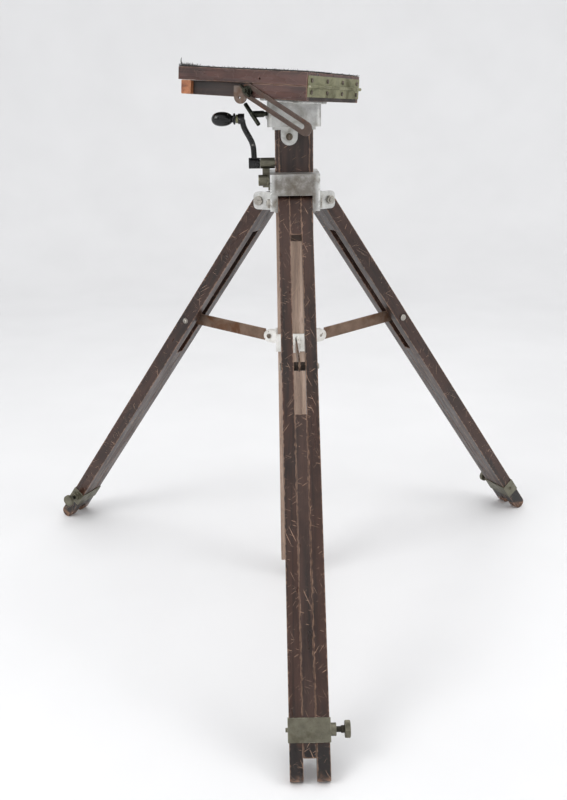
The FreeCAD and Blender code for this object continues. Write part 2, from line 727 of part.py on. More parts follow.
def crank_arm():
    """An S-bent bar swept between two bosses; it steps outwards on its way up."""
    body = doc.addObject("PartDesign::Body", "arm_body")
    planes = {item.Role: item for item in body.Origin.OriginFeatures}
    low_x = amount(ARM_X + " - crank_boss / 2")
    step_out = amount("crank_reach") + low_x
    base_z = amount("crank_height")
    reach = amount("crank_throw")
    path = body.newObject("Sketcher::SketchObject", "arm_path")
    path.AttachmentSupport = [(planes["XZ_Plane"], "")]
    path.MapMode = "FlatFace"
    # (share of the step outwards, share of the way up)
    knots = [(0.0, 0.0), (0.03, 0.25), (0.12, 0.42), (0.58, 0.66), (0.95, 0.86), (1.0, 1.0)]
    poles = [FreeCAD.Vector(low_x - out * step_out, base_z + up * reach, 0) for out, up in knots]
    curve = Part.BSplineCurve()
    curve.interpolate(poles)
    path.addGeometry(curve, False)
    section = body.newObject("Sketcher::SketchObject", "arm_section")
    section.AttachmentSupport = [(planes["XY_Plane"], "")]
    section.MapMode = "FlatFace"
    section.AttachmentOffset = FreeCAD.Placement(FreeCAD.Vector(low_x, 0, base_z), FreeCAD.Rotation())
    ring = Part.Circle(FreeCAD.Vector(), FreeCAD.Vector(0, 0, 1), amount("crank_bar_radius"))
    section.addGeometry(ring, False)
    doc.recompute()
    pipe = body.newObject("PartDesign::AdditivePipe", "arm_pipe")
    pipe.Profile = section
    pipe.Spine = (path, ["Edge1"])
    body.Tip = pipe
    bar = moved(body, FreeCAD.Placement(vector(0, CRANK_Y, 0), FreeCAD.Rotation()))
    low = rod(9, "crank_boss", (ARM_X + " - crank_boss", CRANK_Y, "crank_height"), "X")
    high = rod(8.5, "knob_boss_out - knob_boss_in", ("-knob_boss_out", CRANK_Y, KNOB_HEIGHT), "X")
    bore_start = ("%s - %s" % (ARM_X, SHAFT_GRIP), CRANK_Y, "crank_height")
    bore = rod("shaft_radius", SHAFT_GRIP + 1, bore_start, "X")
    pin_bore = rod(PIN_RADIUS, 40, ("-knob_boss_out - 10", CRANK_Y, KNOB_HEIGHT), "X")
    return less(joined(bar, low, high), bore, pin_bore)


KNOB_START = "(-knob_boss_out - ferrule_length - free_gap)"


def knob_spindle():
    """Steel pin for the knob, with a ferrule against the arm."""
    outer = "(knob_boss_out + ferrule_length + knob_length - 6)"
    pin = rod(PIN_RADIUS, "%s - knob_boss_in" % outer, ("-" + outer, CRANK_Y, KNOB_HEIGHT), "X")
    ferrule = rod(7.0, "ferrule_length", ("-knob_boss_out - ferrule_length", CRANK_Y, KNOB_HEIGHT), "X")
    return joined(pin, ferrule)


def crank_knob():
    """Egg-shaped knob with a collar, turning on its pin."""
    half = "(knob_length / 2 - 2.6)"
    egg = doc.addObject("Part::Ellipsoid", "egg")
    egg.Angle1 = -90
    egg.Angle2 = 90
    tie(egg, Radius1=half, Radius2="knob_radius", Radius3="knob_radius")
    put(egg, ("%s - knob_length + %s" % (KNOB_START, half), CRANK_Y, KNOB_HEIGHT), "X")
    collar = rod("knob_radius * 0.78", 4, (KNOB_START + " - 4", CRANK_Y, KNOB_HEIGHT), "X")
    neck_start = (KNOB_START + " - 11", CRANK_Y, KNOB_HEIGHT)
    neck = cone("knob_radius * 0.66", "knob_radius * 0.6", 8, neck_start, "X")
    bore = rod(PIN_RADIUS + 0.1, "knob_length - 4",
               (KNOB_START + " - knob_length + 5", CRANK_Y, KNOB_HEIGHT), "X")
    return less(joined(egg, collar, neck), bore)


node("crank_shaft", crank_shaft())
node("drive_pinion", pinion())
node("crank_arm", crank_arm())
node("knob_spindle", knob_spindle())
node("crank_knob", crank_knob())


# ---------------------------------------------------------------- lock screws

def column_lock_screw():
    tip = amount("-column_width / 2") - 0.4
    wall = amount("-crown_half_width") - 3
    length = amount("lock_knob_length")
    screw = rod("lock_screw_radius", tip - wall + 2, (wall - 2, LOCK_Y, "lock_height"), "X")
    knob = rod("lock_knob_radius", length, (wall - length, LOCK_Y, "lock_height"), "X")
    neck = rod("lock_knob_radius * 0.7", 2.6, (wall - 0.1, LOCK_Y, "lock_height"), "X")
    return joined(screw, knob, neck)


def pan_lock_screw():
    """Screw with a cross handle; its point stops just short of the spindle."""
    start = amount("spindle_radius") + 3.4
    reach = amount("pan_lock_reach")
    half = amount("pan_handle_half")
    rod_piece = rod(3.5, reach - start, (start, 0, 0), "X")
    sleeve = rod(5.2, 22, (reach - 24, 0, 0), "X")
    handle = rod(3.4, 2 * half, (reach - 2, 0, -half), "Z")
    turn = turned((0, 0, 1), amount("pan_lock_angle")).multiply(turned((1, 0, 0), 50))
    item = joined(rod_piece, sleeve, handle)
    item.Placement = FreeCAD.Placement(vector(0, 0, "pan_lock_height"), turn)
    return item


node("column_lock_screw", column_lock_screw())
node("pan_lock_screw", pan_lock_screw())


# ---------------------------------------------------------------- platform base

HEAD = platform_frame()
LEFT_END = "(hinge_end - board_length)"
BASE_LEFT = "(hinge_end - board_length + cleat_inset)"
HALF_WIDTH = "(board_width / 2)"
CAMERA_X = "(hinge_end - camera_hole)"
STUD_X = "(hinge_end - stay_across)"
PIN_X = "(hinge_end + leaf_thick + knuckle_radius)"


def pan_flange():
    disc = rod("flange_radius", "flange_thick", (0, 0, "-flange_thick"))
    spindle = rod("spindle_radius", "spindle_length", (0, 0, "-flange_thick - spindle_length + 0.01"))
    return joined(disc, spindle)


def base_panel():
    start = "(%s + cleat_width)" % BASE_LEFT
    panel = box(("hinge_end - %s" % start, "board_width - 2 * recess_depth", "base_thick"),
                (start, "-%s + recess_depth" % HALF_WIDTH, 0))
    window = block("camera_window / 2", "camera_window / 2", -1, "base_thick + 1", CAMERA_X)
    stud_bore = rod("stud_radius", 20, (STUD_X, "-%s + recess_depth - 1" % HALF_WIDTH, "stay_height"), "Y")
    return less(panel, window, stud_bore)


def base_cleat():
    return box(("cleat_width", "board_width", "base_thick"), (BASE_LEFT, "-" + HALF_WIDTH, 0))


def base_side_blocks():
    blocks = []
    for low in ("-" + HALF_WIDTH, HALF_WIDTH + " - recess_depth"):
        blocks.append(box(("side_block_length", "recess_depth", "base_thick"),
                          ("hinge_end - side_block_length", low, 0)))
    return grouped(*blocks)


PLATE_Y = "(-board_width / 2 + recess_depth)"
BAR_BACK = "(-board_width / 2 - 1)"


def stay_plate():
    """Steel plate on the recessed edge of the base, with a rounded ear that hangs below it."""
    left = "(%s - 31.5)" % STUD_X
    ear_x = "(%s - 20.5)" % STUD_X
    body = box((25, 3, 15), (left, PLATE_Y + " - 3", 2))
    ear = rod(11.8, 3, (ear_x + " + 1.2", PLATE_Y + " - 3", 1.5), "Y")
    bridge = box((24, 3, 11), (left + " + 20", PLATE_Y + " - 3", "stay_height - 5.5"))
    pad = rod(6.5, 3, (STUD_X, PLATE_Y + " - 3", "stay_height"), "Y")
    hole = rod(1.8, 12, (ear_x, PLATE_Y + " - 8", -0.7), "Y")
    stud_bore = rod("stud_radius", 20, (STUD_X, PLATE_Y + " - 10", "stay_height"), "Y")
    blocked = box((60, 20, 60), ("hinge_end - side_block_length", PLATE_Y + " - 20", -20))
    return less(joined(body, ear, less(joined(bridge, pad), blocked)), hole, stud_bore)


def stay_stud():
    """Threaded stud with a shoulder that holds the bar clear of the boards."""
    shoulder_start = amount(PLATE_Y) - 3
    shoulder_end = amount(BAR_BACK) + 0.1
    stud_end = amount(BAR_BACK) - amount("stay_thick") - 12
    stud = rod("stud_radius", amount(PLATE_Y) + 8 - stud_end, (STUD_X, stud_end, "stay_height"), "Y")
    shoulder = rod(5.5, shoulder_start - shoulder_end, (STUD_X, shoulder_end, "stay_height"), "Y")
    return joined(stud, shoulder)


def hinge_leaf(upper):
    """Leaf along the whole end of a board, with every second knuckle."""
    pin_z = "base_thick"
    low = "%s + %s" % (pin_z, "0.4" if upper else "-0.4 - leaf_height")
    leaf = box(("leaf_thick", "board_width - 4", "leaf_height"), ("hinge_end", "-board_width / 2 + 2", low))
    count = 9
    pitch = amount("board_width - 4") / count
    knuckles = []
    for number in range(count):
        if (number % 2 == 0) == upper:
            continue
        start = amount("-board_width / 2") + 2 + number * pitch + 0.15
        knuckles.append(rod("knuckle_radius", pitch - 0.3, (PIN_X, start, pin_z), "Y"))
        arm_low = amount(pin_z) if upper else amount(pin_z) - amount("knuckle_radius")
        knuckles.append(box(("leaf_thick + knuckle_radius", pitch - 0.3, "knuckle_radius"),
                            ("hinge_end", start, arm_low)))
    bore = rod("hinge_pin_radius + bore_clearance", "2 * board_width", (PIN_X, "-board_width", pin_z), "Y")
    return less(joined(leaf, *knuckles), bore)


def hinge_screws(upper):
    """Round-headed screws through one leaf into the end of its board."""
    side = 1 if upper else -1
    height = amount("base_thick") + side * (0.4 + amount("leaf_height") * 0.55)
    screws = []
    for number in range(4):
        across = (number - 1.5) * amount("hinge_screw_pitch")
        head = rod("hinge_screw_radius", 1.2, ("hinge_end + leaf_thick", across, height), "X")
        slot = box((1, 0.9, 12), (amount("hinge_end + leaf_thick") + 0.7, across - 0.45, height - 6))
        screws.append(less(head, slot))
    return grouped(*screws)


def hinge_pin():
    return rod("hinge_pin_radius", "board_width - 3", (PIN_X, "-board_width / 2 + 1.5", "base_thick"), "Y")


node("pan_flange", pan_flange(), HEAD)
node("base_panel", base_panel(), HEAD)
node("base_end_cleat", base_cleat(), HEAD)
node("base_side_blocks", base_side_blocks(), HEAD)
node("stay_plate", stay_plate(), HEAD)
node("stay_stud", stay_stud(), HEAD)
node("hinge_leaf_lower", hinge_leaf(False), HEAD)
node("hinge_pin", hinge_pin(), HEAD)
node("hinge_screws_lower", hinge_screws(False), HEAD)


# ---------------------------------------------------------------- tilting top

BOARD_LOW = "(base_thick + 0.4)"
BOARD_TOP = "(base_thick + 0.4 + board_thick)"


def top_board():
    board = box(("board_length", "board_width", "board_thick"), (LEFT_END, "-" + HALF_WIDTH, BOARD_LOW))
    edge_hole = rod(1.6, 14, ("%s + 19" % STUD_X, "-%s - 1" % HALF_WIDTH, "base_thick + 7.5"), "Y")
    screw_hole = rod("camera_screw_radius + 4.24", "3 * board_thick", (CAMERA_X, 0, "base_thick"))
    return less(board, edge_hole, screw_hole)


def top_felt():
    felt = box(("board_length - 2", "board_width - 2", "felt_thick"),
               ("%s + 1" % LEFT_END, "-%s + 1" % HALF_WIDTH, BOARD_TOP))
    hole = rod("camera_screw_radius + 5", "20 * felt_thick", (CAMERA_X, 0, "base_thick"))
    return less(felt, hole)


def camera_bush():
    """Brass bush that the camera screw slides and turns in."""
    bush = rod("camera_screw_radius + 4.24", "board_thick", (CAMERA_X, 0, BOARD_LOW))
    bore = rod("camera_screw_radius + 0.09", "3 * board_thick", (CAMERA_X, 0, "base_thick - 10"))
    return less(bush, bore)


def camera_screw():
    """Captive screw with a knurled head in the base's round window, drawn lowered."""
    head_low = "base_thick - 16"
    shank = rod("camera_screw_radius", "%s - (%s) - 2" % (BOARD_TOP, head_low), (CAMERA_X, 0, head_low))
    head = rod("camera_knob_radius", 7, (CAMERA_X, 0, head_low))
    return joined(shank, head)


node("top_board", top_board(), HEAD)
node("top_felt", top_felt(), HEAD)
node("hinge_leaf_upper", hinge_leaf(True), HEAD)
node("hinge_screws_upper", hinge_screws(True), HEAD)
node("camera_bush", camera_bush(), HEAD)
node("camera_screw", camera_screw(), HEAD)


# ---------------------------------------------------------------- stay bar

def stay_frame():
    """Origin on the stud at the back of the bar, X down along the bar, Y to the rear."""
    slope = turned((0, 1, 0), amount("stay_slope"))
    place = FreeCAD.Placement(vector(STUD_X, BAR_BACK, "stay_height"), slope)
    return HEAD.multiply(place)


def stay_bar():
    """Slotted bar; the stud stands at the upper end of the slot."""
    half = "stay_width / 2"
    flat = box(("stay_length", "stay_thick", "stay_width"), (0, "-stay_thick", "-" + half))
    ends = [rod(half, "stay_thick", (at, "-stay_thick", 0), "Y") for at in (0, "stay_length")]
    slot = box(("stay_length - 7", "3 * stay_thick", "stay_slot"), (0, "-2 * stay_thick", "-stay_slot / 2"))
    slot_ends = [rod("stay_slot / 2", "3 * stay_thick", (at, "-2 * stay_thick", 0), "Y")
                 for at in (0, "stay_length - 7")]
    return less(joined(flat, *ends), slot, *slot_ends)


def stay_guide():
    """Washer with two flats that ride in the slot, so that it turns with the bar."""
    face = "(-stay_thick - 0.1)"
    washer = rod(7.5, 1.2, (0, "%s - 1.2" % face, 0), "Y")
    key = block(3.9, "stay_thick / 2 - 0.3", "-stay_slot / 2 + 0.15", "stay_slot / 2 - 0.15",
                0, "-stay_thick / 2 - 0.4")
    round_key = rod("stay_slot / 2 - 0.15", "stay_thick", (0, "-stay_thick - 0.4", 0), "Y")
    keyed = doc.addObject("Part::MultiCommon", "keyed")
    keyed.Shapes = [key, round_key]
    link = rod("stay_slot / 2 - 0.15", "0.6", (0, "%s - 0.5" % face, 0), "Y")
    bore = rod("stud_radius + 0.1", 20, (0, -15, 0), "Y")
    return less(joined(washer, link, keyed), bore)


def stay_wing_nut():
    """Nut with two upright wings, on the stud in front of the guide washer."""
    start = "(-stay_thick - 0.1 - 1.2 - 0.1)"
    hub = rod(5.2, 6.5, (0, "%s - 6.5" % start, 0), "Y")
    wings = []
    for side in (-1, 1):
        wing = joined(rod(5.0, 2.4, (0, 0, 0), "Z"), box((7, 6, 2.4), (-6, -2, 0)))
        at = FreeCAD.Placement(FreeCAD.Vector(side * 8.0, amount(start) - 6.0, -1.2),
                               turned((0, 0, 1), 0 if side > 0 else 180))
        wings.append(moved(wing, at))
    bore = rod("stud_radius + 0.1", 40, (0, -30, 0), "Y")
    return less(joined(hub, *wings), bore)


STAY = stay_frame()
node("stay_bar", stay_bar(), STAY)
node("stay_guide", stay_guide(), STAY)
wing_turn = FreeCAD.Placement(FreeCAD.Vector(), turned((0, 1, 0), 20))
node("stay_wing_nut", stay_wing_nut(), STAY.multiply(wing_turn))


# ---------------------------------------------------------------- checks and files

doc.recompute()
for item in doc.Objects:
    if "Invalid" in item.State or "Error" in item.State:
        raise RuntimeError("%s (%s) is in state %s" % (item.Name, item.Label, item.State))
os.makedirs("parts", exist_ok=True)
for item in NODES:
    shape = item.Shape
    if shape.isNull() or not shape.isValid():
        raise RuntimeError("%s has no valid shape" % item.Label)
    shape.exportStep("parts/%s.step" % item.Label)
print("%d nodes" % len(NODES))
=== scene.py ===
import bpy
import bmesh
import json
import math
import random
from mathutils import Matrix, Vector, noise

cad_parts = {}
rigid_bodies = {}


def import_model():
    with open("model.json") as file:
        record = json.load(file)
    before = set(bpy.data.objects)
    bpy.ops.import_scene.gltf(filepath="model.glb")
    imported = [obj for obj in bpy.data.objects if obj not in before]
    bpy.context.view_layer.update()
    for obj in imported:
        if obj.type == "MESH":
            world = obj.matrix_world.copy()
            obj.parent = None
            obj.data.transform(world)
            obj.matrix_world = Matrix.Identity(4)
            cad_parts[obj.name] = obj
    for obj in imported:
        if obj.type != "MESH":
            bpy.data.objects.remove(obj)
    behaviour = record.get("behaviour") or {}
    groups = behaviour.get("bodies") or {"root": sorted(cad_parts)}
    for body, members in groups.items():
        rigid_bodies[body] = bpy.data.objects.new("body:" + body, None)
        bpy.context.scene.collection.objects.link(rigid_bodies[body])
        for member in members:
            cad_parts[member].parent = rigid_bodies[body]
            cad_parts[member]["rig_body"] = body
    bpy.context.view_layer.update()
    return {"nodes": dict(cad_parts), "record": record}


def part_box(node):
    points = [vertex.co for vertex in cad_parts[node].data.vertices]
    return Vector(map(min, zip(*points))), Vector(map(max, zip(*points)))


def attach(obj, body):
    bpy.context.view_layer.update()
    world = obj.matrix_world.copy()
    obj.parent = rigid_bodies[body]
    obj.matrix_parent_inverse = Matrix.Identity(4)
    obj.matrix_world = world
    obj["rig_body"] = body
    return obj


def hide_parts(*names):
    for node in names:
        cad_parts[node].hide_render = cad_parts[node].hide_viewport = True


# Antique wooden camera tripod. Metres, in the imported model's frame: +Z up, the front leg along -Y.

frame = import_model()
record = frame["record"]
SLOTS = {part["node"]: part["material_slot"] for part in record["subparts"]}
random.seed(7)

LEGS = {"front": -90.0, "right": 30.0, "left": 150.0}
LEG_LEAN = math.radians(36.25)
HEAD_LEAN = math.radians(3.8)
HEAD_TURN = math.radians(30.0)
CRANK_FORWARD = 0.005
CRANK_HEIGHT = 0.7905
CRANK_THROW = 0.0723


# ---------------------------------------------------------------- frames of the parts

def joint(name):
    return next(item for item in record["behaviour"]["joints"] if item["name"] == name)


def leg_place(name):
    """Origin on the leg's hinge bolt, X out of its face, Y along the bolt, Z up the leg."""
    turn = Matrix.Rotation(math.radians(LEGS[name]), 4, "Z") @ Matrix.Rotation(-LEG_LEAN, 4, "Y")
    return Matrix.Translation(joint("leg_%s_fold" % name)["pos_m"]) @ turn


def head_place():
    """Origin on the pan axis under the base board, X to the hinged end, Z up."""
    turn = Matrix.Rotation(HEAD_LEAN, 4, "Y") @ Matrix.Rotation(-HEAD_TURN, 4, "Z")
    return Matrix.Translation(joint("pan")["pos_m"]) @ turn


HEAD = head_place()
UPRIGHT = Matrix.Identity(4)


# ---------------------------------------------------------------- finishes

class Finish:
    """A procedural finish under way: its nodes, and the shader that they feed."""

    def __init__(self, name, rough=0.5, metal=0.0):
        self.material = bpy.data.materials.new(name)
        self.material.use_nodes = True
        self.tree = self.material.node_tree
        self.tree.nodes.clear()
        self.shader = self.tree.nodes.new("ShaderNodeBsdfPrincipled")
        self.shader.inputs["Roughness"].default_value = rough
        self.shader.inputs["Metallic"].default_value = metal
        out = self.tree.nodes.new("ShaderNodeOutputMaterial")
        self.tree.links.new(self.shader.outputs["BSDF"], out.inputs["Surface"])

    def feed(self, socket, value):
        if isinstance(value, bpy.types.NodeSocket):
            self.tree.links.new(value, socket)
        elif value is not None:
            socket.default_value = value

    def add(self, kind, inputs, **settings):
        made = self.tree.nodes.new(kind)
        for key, value in settings.items():
            setattr(made, key, value)
        for key, value in inputs.items():
            self.feed(made.inputs[key], value)
        return made

    def named(self, attribute):
        return self.add("ShaderNodeAttribute", {}, attribute_name=attribute).outputs["Vector"]

    def amount(self, attribute):
        return self.add("ShaderNodeAttribute", {}, attribute_name=attribute).outputs["Fac"]

    def here(self):
        return self.add("ShaderNodeTexCoord", {}).outputs["Object"]

    def vector(self, operation, a, b=None):
        return self.add("ShaderNodeVectorMath", {0: a, 1: b}, operation=operation).outputs[0]

    def calc(self, operation, a, b=None):
        return self.add("ShaderNodeMath", {0: a, 1: b}, operation=operation).outputs[0]

    def split(self, vector):
        return self.add("ShaderNodeSeparateXYZ", {0: vector}).outputs

    def turned(self, vector, angle):
        inputs = {"Vector": vector, "Angle": angle}
        return self.add("ShaderNodeVectorRotate", inputs, rotation_type="Z_AXIS").outputs[0]

    def noise(self, vector, scale=1.0, detail=3.0, rough=0.55, bend=0.0):
        inputs = {"Vector": vector, "Scale": scale, "Detail": detail, "Roughness": rough,
                  "Distortion": bend}
        return self.add("ShaderNodeTexNoise", inputs).outputs["Fac"]

    def cells(self, vector, scale):
        return self.add("ShaderNodeTexVoronoi", {"Vector": vector, "Scale": scale}).outputs["Distance"]

    def step(self, value, low, high, start=0.0, end=1.0):
        inputs = {"Value": value, "From Min": low, "From Max": high, "To Min": start, "To Max": end}
        return self.add("ShaderNodeMapRange", inputs, interpolation_type="SMOOTHSTEP").outputs[0]

    def ramp(self, value, *stops):
        made = self.add("ShaderNodeValToRGB", {"Fac": value})
        elements = made.color_ramp.elements
        while len(elements) < len(stops):
            elements.new(0.5)
        for element, (at, colour) in zip(elements, stops):
            element.position = at
            element.color = (*colour, 1.0)
        return made.outputs["Color"]

    def mix(self, share, a, b):
        a, b = [(*c, 1.0) if isinstance(c, tuple) else c for c in (a, b)]
        return self.add("ShaderNodeMix", {0: share, 6: a, 7: b}, data_type="RGBA").outputs[2]

    def relief(self, height, strength, depth):
        made = self.add("ShaderNodeBump", {"Height": height, "Strength": strength, "Distance": depth})
        self.feed(self.shader.inputs["Normal"], made.outputs["Normal"])

    def finished(self, colour, rough=None):
        self.feed(self.shader.inputs["Base Color"], colour)
        self.feed(self.shader.inputs["Roughness"], rough)
        return self.material


def shade(colour, share):
    return tuple(part * share for part in colour)


def scratches(f, flat, lines):
    """Thin lines in several directions, each kind broken into short runs by patches."""
    total = None
    for number, (angle, length, width, level) in enumerate(lines):
        run = f.vector("MULTIPLY", f.turned(flat, angle), (1.0 / length, 1.0 / width, 1.0))
        line = f.step(f.noise(run, 1.0, 1.0), level, level + 0.035)
        patch = f.vector("MULTIPLY", flat, (16.0, 16.0, 1.0))
        patch = f.vector("ADD", patch, (3.1 * number, 1.7, 0.0))
        line = f.calc("MULTIPLY", line, f.step(f.noise(patch, 1.0, 1.0), 0.47, 0.56))
        total = line if total is None else f.calc("MAXIMUM", total, line)
    return total


def edge_rub(f, place, half, grown, width):
    """1 on the long edges of a board, where the finish is rubbed through, falling to 0 inwards."""
    gap = f.vector("SUBTRACT", half, f.vector("ABSOLUTE", place))
    x, y, z = f.split(gap)
    near = f.calc("MINIMUM", f.calc("MAXIMUM", x, y), z)
    near = f.calc("MAXIMUM", f.calc("MINIMUM", x, y), near)
    ragged = f.calc("SUBTRACT", f.noise(grown, 140.0, 3.0), 0.5)
    ragged = f.calc("MULTIPLY", ragged, width * 4.0)
    return f.step(f.calc("ADD", near, ragged), 0.0, width, 1.0, 0.0)


WORN = (0.36, 0.22, 0.15)
PORE_DEPTH = 0.45
RUB_STRENGTH = 0.5
GRIT = 0.35


def wood(name, dark, light, worn=WORN, rub=0.0016, marks=1.0, gloss=0.34, stain=None):
    """Varnished wood: growth bands, pores along the grain, rubbed edges, scratches and dents."""
    f = Finish(name)
    place, half, stock = f.named("place"), f.named("half"), f.named("stock")
    grown = f.vector("ADD", place, stock)
    bands = f.noise(f.vector("MULTIPLY", grown, (4.0, 70.0, 70.0)), 1.0, 4.0, 0.6, 0.8)
    colour = f.ramp(bands, (0.34, dark), (0.52, shade(light, 0.82)), (0.68, light))
    fibre = f.noise(f.vector("MULTIPLY", grown, (55.0, 1300.0, 1300.0)), 1.0, 2.0, 0.6)
    pores = f.calc("MULTIPLY", f.step(fibre, 0.5, 0.72), PORE_DEPTH)
    colour = f.mix(pores, colour, shade(dark, 0.35))
    cloud = f.noise(grown, 11.0, 3.0)
    colour = f.mix(f.step(cloud, 0.46, 0.7, 0.0, 0.5), colour, shade(dark, 0.6))
    if stain is not None:
        colour = stain(f, colour, fibre, bands)
    x, y, z = f.split(grown)
    flat = f.add("ShaderNodeCombineXYZ", {0: x, 1: f.calc("ADD", y, z), 2: 0.0}).outputs[0]
    lines = scratches(f, flat, ((0.42, 0.05, 0.0011, 0.70), (-0.6, 0.04, 0.0010, 0.71),
                                (1.25, 0.02, 0.0012, 0.70), (-1.0, 0.025, 0.0010, 0.70)))
    pits = f.vector("ADD", flat, f.vector("MULTIPLY", grown, (0.0, 0.0, 1.0)))
    dents = f.step(f.cells(pits, 75.0), 0.035, 0.07, 1.0, 0.0)
    dents = f.calc("MULTIPLY", dents, f.step(f.noise(flat, 26.0, 2.0), 0.54, 0.62))
    marked = f.calc("MAXIMUM", lines, dents)
    colour = f.mix(f.calc("MULTIPLY", marked, 0.85 * marks), colour, shade(worn, 1.5))
    rubbed = edge_rub(f, place, half, grown, rub)
    broken = f.step(f.noise(grown, 90.0, 3.0, 0.6), 0.44, 0.56)
    rubbed = f.calc("MAXIMUM", rubbed, f.calc("MULTIPLY", f.amount("eased"), broken))
    colour = f.mix(f.calc("MULTIPLY", rubbed, RUB_STRENGTH), colour, worn)
    smear = f.noise(f.vector("MULTIPLY", grown, (14.0, 60.0, 60.0)), 1.0, 3.0)
    rough = f.step(smear, 0.3, 0.75, gloss - 0.07, gloss + 0.14)
    rough = f.calc("ADD", rough, f.calc("MULTIPLY", marked, 0.2))
    height = f.calc("SUBTRACT", f.calc("MULTIPLY", bands, 0.3), f.calc("MULTIPLY", fibre, 0.25))
    height = f.calc("SUBTRACT", height, f.calc("MULTIPLY", marked, 0.9))
    f.relief(height, 0.35, 0.0006)
    return f.finished(colour, rough)


def column_stain(f, colour, fibre, bands):
    """Bare wood on the part of the column that slides below the crown."""
    height = f.split(f.here())[2]
    ragged = f.calc("ADD", height, f.calc("MULTIPLY", f.calc("SUBTRACT", fibre, 0.5), 0.03))
    bare = f.ramp(bands, (0.3, (0.17, 0.115, 0.087)), (0.55, (0.36, 0.26, 0.2)),
                  (0.72, (0.47, 0.355, 0.285)))
    bare = f.mix(f.step(fibre, 0.5, 0.7, 0.0, 0.55), bare, (0.09, 0.06, 0.045))
    return f.mix(f.step(ragged, 0.69, 0.73), bare, colour)


def foot_stain(f, colour, fibre, bands):
    """Black feet below the clamps, worn brown at their tips."""
    here = f.here()
    ragged = f.calc("SUBTRACT", f.noise(here, 60.0, 4.0), 0.5)
    ragged = f.calc("ADD", f.split(here)[2], f.calc("MULTIPLY", ragged, 0.022))
    colour = f.mix(f.step(ragged, 0.046, 0.054, 0.85, 0.0), colour, (0.006, 0.005, 0.005))
    tip = f.noise(here, 130.0, 4.0)
    tip = f.ramp(tip, (0.4, (0.05, 0.025, 0.015)), (0.62, (0.26, 0.13, 0.07)))
    return f.mix(f.step(ragged, 0.009, 0.019, 0.9, 0.0), colour, tip)


def crown_dirt_and_highlight(f, colour):
    """Brown dirt on the crown's front plate, and a painted highlight in near-white, broken by noise,
    on the ridges of its cheeks.
    """
    here = f.here()
    x, y, z = f.split(here)
    off = f.calc("ABSOLUTE", x)
    front = f.step(y, -0.058, -0.052, 1.0, 0.0)
    plate = f.calc("MULTIPLY", f.step(off, 0.031, 0.038, 1.0, 0.0), front)
    plate = f.calc("MULTIPLY", plate, f.step(z, 0.7, 0.722))
    patch = f.step(f.noise(here, 38.0, 4.0, 0.6), 0.3, 0.62, 0.15, 0.8)
    colour = f.mix(f.calc("MULTIPLY", plate, patch), colour, (0.13, 0.105, 0.08))
    # Painted highlight: the cheek ridges are mixed towards near-white.
    ridge_highlight = f.calc("MULTIPLY", f.step(off, 0.0375, 0.0395), front)
    ridge_highlight = f.calc("MULTIPLY", ridge_highlight, f.step(f.noise(here, 150.0, 4.0, 0.7), 0.42, 0.55))
    return f.mix(f.calc("MULTIPLY", ridge_highlight, 0.8), colour, (0.85, 0.85, 0.83))


def brace_end_dark_band(f, colour):
    """Near-black band on the front brace near its bolt end."""
    x, y = f.split(f.here())[:2]
    off = f.calc("ABSOLUTE", x)
    dark_band = f.step(off, 0.011, 0.012, 1.0, 0.0)
    dark_band = f.calc("MULTIPLY", f.step(off, 0.0018, 0.0022), dark_band)
    dark_band = f.calc("MULTIPLY", dark_band, f.step(y, -0.12, -0.1, 1.0, 0.0))
    return f.mix(f.calc("MULTIPLY", dark_band, 0.9), colour, (0.012, 0.01, 0.009))


def metal(name, base, stained, rough, metallic=1.0, stain=(0.5, 0.7), bright=1.5, local=None):
    """Old metal: mottled colour, stains, bright rubbed edges, near-black darkening where a piece marks
    it, fine grit and uneven polish.
    """
    f = Finish(name, rough, metallic)
    here = f.here()
    mottle = f.noise(here, 60.0, 5.0, 0.65)
    colour = f.ramp(mottle, (0.3, shade(base, 0.72)), (0.55, base), (0.75, shade(base, 1.18)))
    patch = f.noise(here, 24.0, 4.0, 0.6, 0.6)
    colour = f.mix(f.step(patch, *stain), colour, stained)
    speck = f.step(f.cells(here, 420.0), 0.1, 0.25, 0.35, 0.0)
    colour = f.mix(speck, colour, shade(stained, 0.5))
    if local is not None:
        colour = local(f, colour)
    broken = f.step(f.noise(here, 110.0, 3.0, 0.6), 0.4, 0.58)
    colour = f.mix(f.calc("MULTIPLY", f.amount("eased"), broken), colour, shade(base, bright))
    # Darkens to near black wherever a piece marks it; only the thumb screws' shanks are marked.
    colour = f.mix(f.amount("shank_darkening"), colour, (0.02, 0.018, 0.015))
    fine = f.noise(here, 900.0, 3.0, 0.6)
    f.relief(f.calc("ADD", fine, f.calc("MULTIPLY", mottle, 0.8)), GRIT, 0.0005)
    dull = f.calc("ADD", patch, f.calc("MULTIPLY", fine, 0.3))
    return f.finished(colour, f.step(dull, 0.4, 0.85, rough - 0.08, rough + 0.16))


def black_japan(name, rough):
    """Baked black finish, chipped to grey metal here and there."""
    f = Finish(name, rough)
    here = f.here()
    cloud = f.noise(here, 70.0, 4.0)
    colour = f.ramp(cloud, (0.35, (0.003, 0.003, 0.0035)), (0.7, (0.01, 0.01, 0.011)))
    chips = f.calc("MULTIPLY", f.step(f.noise(here, 260.0, 2.0), 0.66, 0.7),
                   f.step(f.noise(here, 45.0, 2.0), 0.5, 0.6))
    colour = f.mix(chips, colour, (0.2, 0.19, 0.17))
    f.shader.inputs["Specular IOR Level"].default_value = 0.3
    f.shader.inputs["Coat Weight"].default_value = 0.25
    f.shader.inputs["Coat Roughness"].default_value = 0.12
    f.relief(cloud, 0.2, 0.0006)
    return f.finished(colour, f.step(cloud, 0.3, 0.7, rough - 0.05, rough + 0.12))


